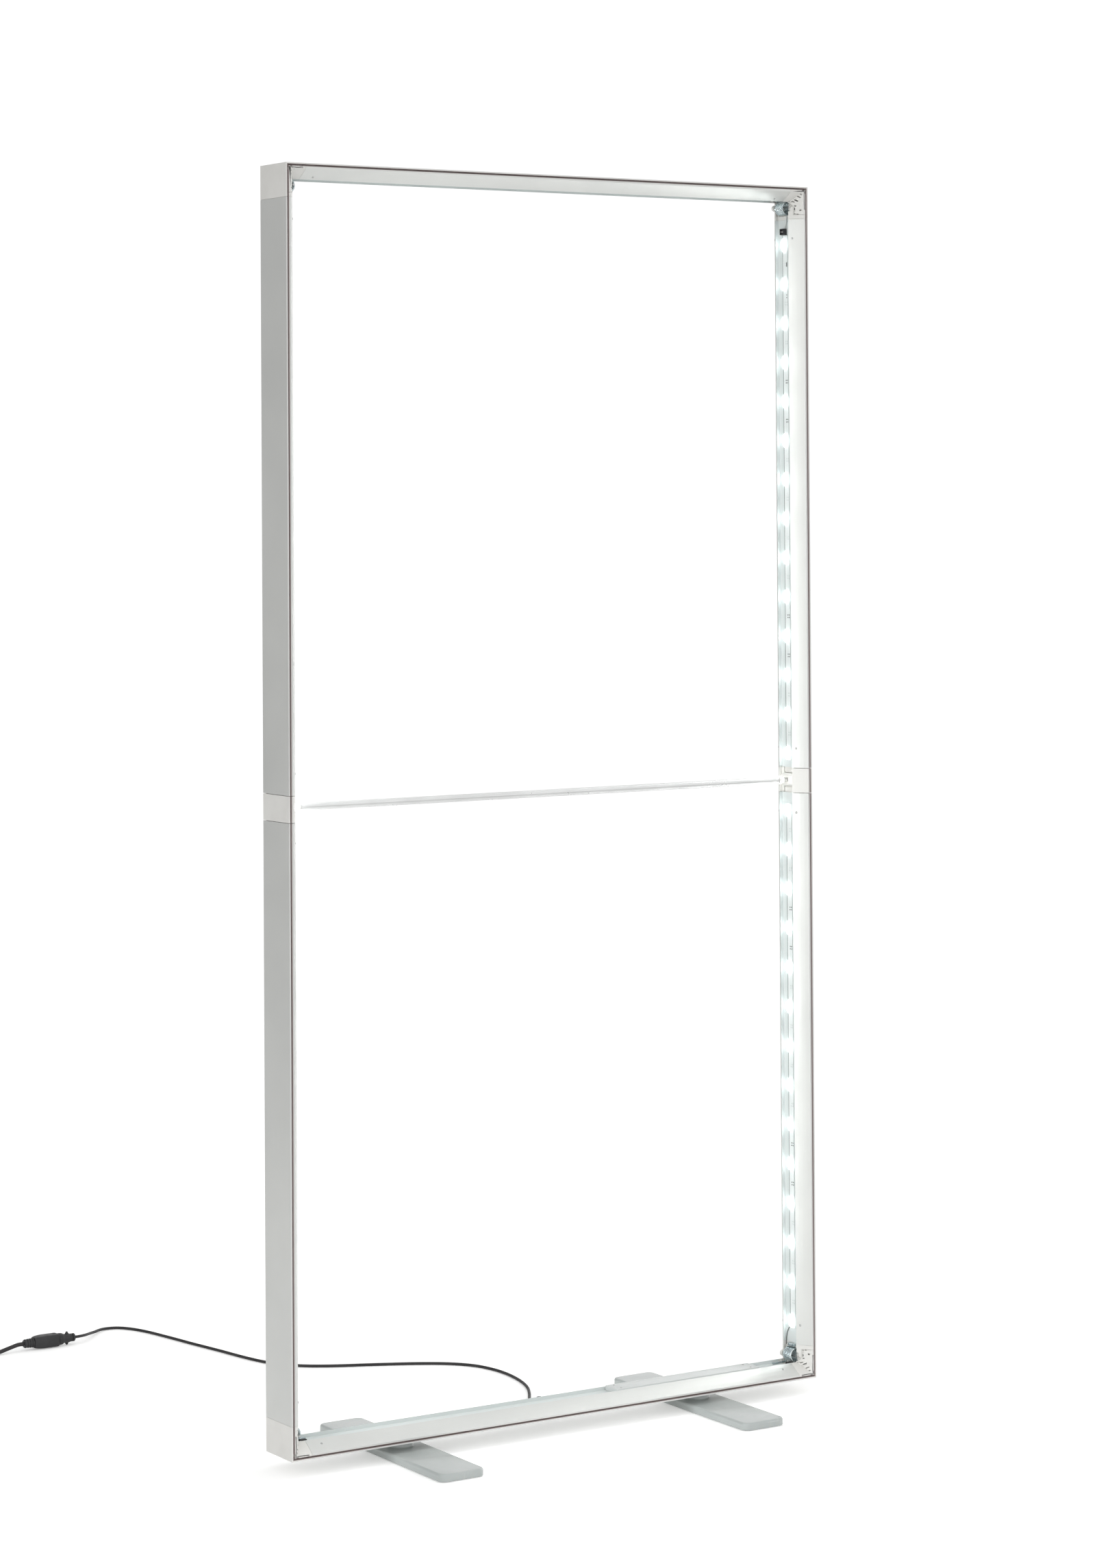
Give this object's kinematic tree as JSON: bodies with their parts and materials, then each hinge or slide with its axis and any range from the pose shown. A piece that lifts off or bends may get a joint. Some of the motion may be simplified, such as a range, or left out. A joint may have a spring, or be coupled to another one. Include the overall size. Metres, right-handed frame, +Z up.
{
  "type": "pop-up display frame",
  "caption": "Tall folding light-box frame with sprung corners, halved uprights, a cross bar, light strips along both sides, swivelling feet and a mains lead.",
  "frame": {"origin": "on the floor under the middle of the frame", "axes": "+Z up, +X along the width to the right seen from the front, the front faces -Y"},
  "size_m": [1.2756, 1.2568, 2.025],
  "materials": {
    "painted_bar": "matt light grey powder coat on extruded aluminium",
    "moulding": "fine-grained off-white moulding",
    "plain_steel": "bright zinc-plated",
    "spring_steel": "blue zinc-plated spring wire",
    "bar_tube_steel": "satin light grey tube",
    "light_board": "white board with clear lenses",
    "driver_case": "smooth light grey case",
    "black_plastic": "black moulding",
    "foot_paint": "satin grey paint",
    "black_rubber": "matt black rubber",
    "lead_sheath": "black flexible sheath"
  },
  "bodies": {
    "base": {"bottom_rail": "painted_bar", "bottom_left_corner": "moulding", "bottom_right_corner": "moulding", "bottom_left_hinge_pin": "plain_steel", "bottom_right_hinge_pin": "plain_steel", "bottom_left_spring": "spring_steel", "bottom_right_spring": "spring_steel", "led_driver": "driver_case", "left_foot_bolt": "plain_steel", "right_foot_bolt": "plain_steel", "lead_grommet": "black_rubber", "frame_lead": "lead_sheath", "lead_socket": "black_plastic", "lead_plug": "black_plastic", "mains_lead": "lead_sheath", "mains_lead_coil": "lead_sheath", "mains_lead_tail": "lead_sheath", "mains_plug": "black_plastic"},
    "left_foot_swivelling": {"left_foot": "foot_paint", "left_foot_front_pad": "black_rubber", "left_foot_back_pad": "black_rubber"},
    "right_foot_swivelling": {"right_foot": "foot_paint", "right_foot_front_pad": "black_rubber", "right_foot_back_pad": "black_rubber"},
    "lower_left_arm": {"lower_left_upright": "painted_bar", "lower_left_hinge_end": "moulding", "lower_left_arm_tip": "moulding", "lower_left_led_strip": "light_board"},
    "lower_right_arm": {"lower_right_upright": "painted_bar", "lower_right_hinge_end": "moulding", "lower_right_arm_tip": "moulding", "lower_right_led_strip": "light_board"},
    "upper_left_arm": {"upper_left_upright": "painted_bar", "upper_left_hinge_end": "moulding", "upper_left_arm_tip": "moulding", "upper_left_led_strip": "light_board", "upper_left_led_connector": "black_plastic"},
    "upper_right_arm": {"upper_right_upright": "painted_bar", "upper_right_hinge_end": "moulding", "upper_right_arm_tip": "moulding", "upper_right_led_strip": "light_board", "upper_right_led_connector": "black_plastic"},
    "middle_frame": {"middle_left_connector": "moulding", "middle_right_connector": "moulding", "cross_bar": "bar_tube_steel", "cross_bar_sleeve": "moulding", "cross_bar_ferrule": "moulding", "plunger_spring": "spring_steel"},
    "upper_frame": {"top_rail": "painted_bar", "top_left_corner": "moulding", "top_right_corner": "moulding", "top_left_hinge_pin": "plain_steel", "top_right_hinge_pin": "plain_steel", "top_left_spring": "spring_steel", "top_right_spring": "spring_steel"},
    "plunger": {"cross_bar_plunger": "plain_steel"}
  },
  "joints": [
    {"name": "left_foot_swivel", "type": "hinge", "parent": "base", "child": "left_foot_swivelling", "pos_m": [-0.2845, 0, 0.013], "axis": [0, 0, 1], "range_deg": [-90, 90]},
    {"name": "right_foot_swivel", "type": "hinge", "parent": "base", "child": "right_foot_swivelling", "pos_m": [0.2845, 0, 0.013], "axis": [0, 0, 1], "range_deg": [-90, 90]},
    {"name": "lower_left_hinge", "type": "hinge", "parent": "base", "child": "lower_left_arm", "pos_m": [-0.476, 0, 0.058], "axis": [0, 1, 0], "range_deg": [0, 80], "stiffness_Nm_per_rad": 3, "springref_deg": -60.16, "deforming": ["bottom_left_spring"]},
    {"name": "lower_right_hinge", "type": "hinge", "parent": "base", "child": "lower_right_arm", "pos_m": [0.476, 0, 0.058], "axis": [0, 1, 0], "range_deg": [-80, 0], "stiffness_Nm_per_rad": 3, "springref_deg": 60.16, "deforming": ["bottom_right_spring"]},
    {"name": "middle_frame_slide", "type": "slide", "parent": "base", "child": "middle_frame", "axis": [0, 0, 1], "range_m": [0, 0.045]},
    {"name": "plunger_slide", "type": "slide", "parent": "middle_frame", "child": "plunger", "axis": [1, 0, 0], "range_m": [-0.01, 0], "stiffness_N_per_m": 600, "springref_m": 0.01, "deforming": ["plunger_spring"]},
    {"name": "upper_frame_slide", "type": "slide", "parent": "middle_frame", "child": "upper_frame", "axis": [0, 0, 1], "range_m": [0, 0.045]},
    {"name": "upper_left_hinge", "type": "hinge", "parent": "upper_frame", "child": "upper_left_arm", "pos_m": [-0.476, 0, 1.992], "axis": [0, 1, 0], "range_deg": [-80, 0], "stiffness_Nm_per_rad": 3, "springref_deg": 60.16, "deforming": ["top_left_spring"]},
    {"name": "upper_right_hinge", "type": "hinge", "parent": "upper_frame", "child": "upper_right_arm", "pos_m": [0.476, 0, 1.992], "axis": [0, 1, 0], "range_deg": [0, 80], "stiffness_Nm_per_rad": 3, "springref_deg": -60.16, "deforming": ["top_right_spring"]}
  ]
}
